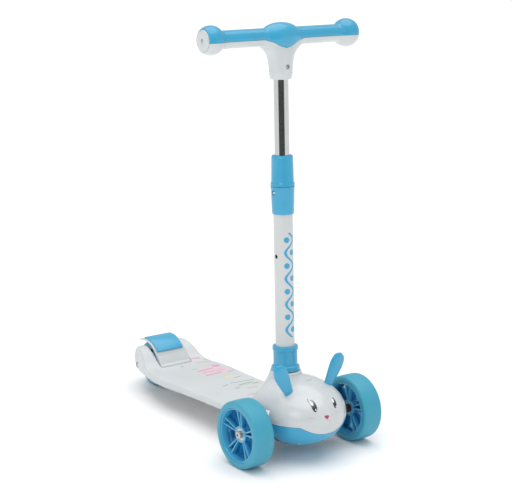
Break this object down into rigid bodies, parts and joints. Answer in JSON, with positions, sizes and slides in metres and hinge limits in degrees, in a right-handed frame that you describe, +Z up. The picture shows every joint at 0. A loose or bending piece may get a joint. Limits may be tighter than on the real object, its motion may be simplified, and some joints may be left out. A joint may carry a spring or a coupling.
{
  "type": "kick scooter",
  "caption": "Child's lean-to-steer kick scooter with a rabbit-faced front, raked height-adjustable T-bar, spoked wheels and heel brake.",
  "frame": {"origin": "on the ground under the middle of the scooter's outer box", "axes": "the scooter rolls towards -Y, +X is the rider's left and +Z is up"},
  "size_m": [0.324, 0.592, 0.7551],
  "materials": {
    "white_plastic": "smooth, semi-gloss moulded plastic",
    "sky_blue_plastic": "smooth, semi-gloss moulded plastic",
    "wheel_blue": "satin cast polyurethane",
    "hub_blue": "glossy moulded plastic",
    "white_paint": "glossy powder coat on steel",
    "chrome": "polished",
    "steel": "zinc plated",
    "black_metal": "satin black powder coat",
    "black_rubber": "matte",
    "grey_plastic": "fine texture",
    "natural_plastic": "unpainted acetal"
  },
  "bodies": {
    "frame": {"deck": "white_plastic", "bottom_tray": "grey_plastic", "tray_screws": "steel", "deck_channel": "steel", "truck_bracket": "black_metal", "bracket_screws": "steel", "steering_peg": "steel", "lean_pin": "steel", "lean_pin_nut": "steel", "rubber_buffer_left": "black_rubber", "rubber_buffer_right": "black_rubber", "head_cover": "white_plastic", "chin_cover": "sky_blue_plastic", "chin_screws": "steel", "ear_left": "sky_blue_plastic", "ear_right": "sky_blue_plastic", "lower_collar": "sky_blue_plastic", "lower_tube": "white_paint", "column_plug": "natural_plastic", "column_bolt": "steel", "height_sleeve": "sky_blue_plastic", "sleeve_cap": "sky_blue_plastic", "top_bush": "natural_plastic", "rear_axle": "steel", "rear_axle_nut": "steel", "rear_axle_spacers": "steel", "brake_hinge_pin": "steel", "brake_spring": "steel"},
    "handlebar": {"chrome_tube": "chrome", "guide_bush": "natural_plastic", "snap_spring": "steel", "cross_bar": "steel", "handle_lower_shell": "white_plastic", "handle_upper_shell": "sky_blue_plastic", "end_cap_left": "white_plastic", "end_cap_right": "white_plastic", "end_cap_screws": "steel", "neck_screw": "steel"},
    "height_button": {"snap_button": "steel"},
    "truck": {"axle_beam": "black_metal", "kingpin_left": "steel", "kingpin_right": "steel", "kingpin_circlips": "steel"},
    "steering_link": {"tie_rod": "steel"},
    "brake": {"brake_fender": "white_plastic", "brake_pad": "sky_blue_plastic", "brake_shoe": "steel"},
    "rear_wheel": {"tyre_rear": "wheel_blue", "hub_rear": "hub_blue", "bearings_rear": "steel"},
    "knuckle_left": {"knuckle_left": "black_metal", "axle_bolt_front_left": "steel"},
    "front_wheel_left": {"tyre_front_left": "wheel_blue", "hub_front_left": "hub_blue", "bearings_front_left": "steel"},
    "knuckle_right": {"knuckle_right": "black_metal", "axle_bolt_front_right": "steel"},
    "front_wheel_right": {"tyre_front_right": "wheel_blue", "hub_front_right": "hub_blue", "bearings_front_right": "steel"}
  },
  "joints": [
    {"name": "height_adjust", "type": "slide", "parent": "frame", "child": "handlebar", "axis": [0, 0.0483, 0.9988], "range_m": [-0.113, 0], "deforming": ["snap_button"]},
    {"name": "height_button_press", "type": "slide", "parent": "handlebar", "child": "height_button", "axis": [1, 0, 0], "range_m": [0, 0.005], "stiffness_N_per_m": 400, "springref_m": -0.001, "deforming": ["snap_spring"]},
    {"name": "axle_lean", "type": "hinge", "parent": "frame", "child": "truck", "pos_m": [0, -0.212, 0.066], "axis": [0, 1, 0], "range_deg": [-10, 10], "stiffness_Nm_per_rad": 45, "deforming": ["rubber_buffer_left", "rubber_buffer_right"]},
    {"name": "link_slide", "type": "slide", "parent": "truck", "child": "steering_link", "axis": [1, 0, 0], "range_m": [-0.00466, 0.00466]},
    {"name": "brake_press", "type": "hinge", "parent": "frame", "child": "brake", "pos_m": [0, 0.192, 0.054], "axis": [-1, 0, 0], "range_deg": [0, 3.8], "stiffness_Nm_per_rad": 3, "springref_deg": -6.88, "deforming": ["brake_spring"]},
    {"name": "rear_wheel_spin", "type": "hinge", "parent": "frame", "child": "rear_wheel", "pos_m": [0, 0.251, 0.045], "axis": [1, 0, 0], "continuous": true},
    {"name": "steer_left", "type": "hinge", "parent": "truck", "child": "knuckle_left", "pos_m": [0.082, -0.212, 0.06], "axis": [0, 0, 1], "range_deg": [-11.02, 11.02]},
    {"name": "front_wheel_spin_left", "type": "hinge", "parent": "knuckle_left", "child": "front_wheel_left", "pos_m": [0.1205, -0.212, 0.06], "axis": [1, 0, 0], "continuous": true},
    {"name": "steer_right", "type": "hinge", "parent": "truck", "child": "knuckle_right", "pos_m": [-0.082, -0.212, 0.06], "axis": [0, 0, 1], "range_deg": [-11.02, 11.02]},
    {"name": "front_wheel_spin_right", "type": "hinge", "parent": "knuckle_right", "child": "front_wheel_right", "pos_m": [-0.1205, -0.212, 0.06], "axis": [1, 0, 0], "continuous": true}
  ],
  "couplings": [
    {"joint": "link_slide", "follows": "axle_lean", "m_per_rad": 0.025},
    {"joint": "steer_left", "follows": "axle_lean", "ratio": -1.0417},
    {"joint": "steer_right", "follows": "axle_lean", "ratio": -1.0417}
  ]
}
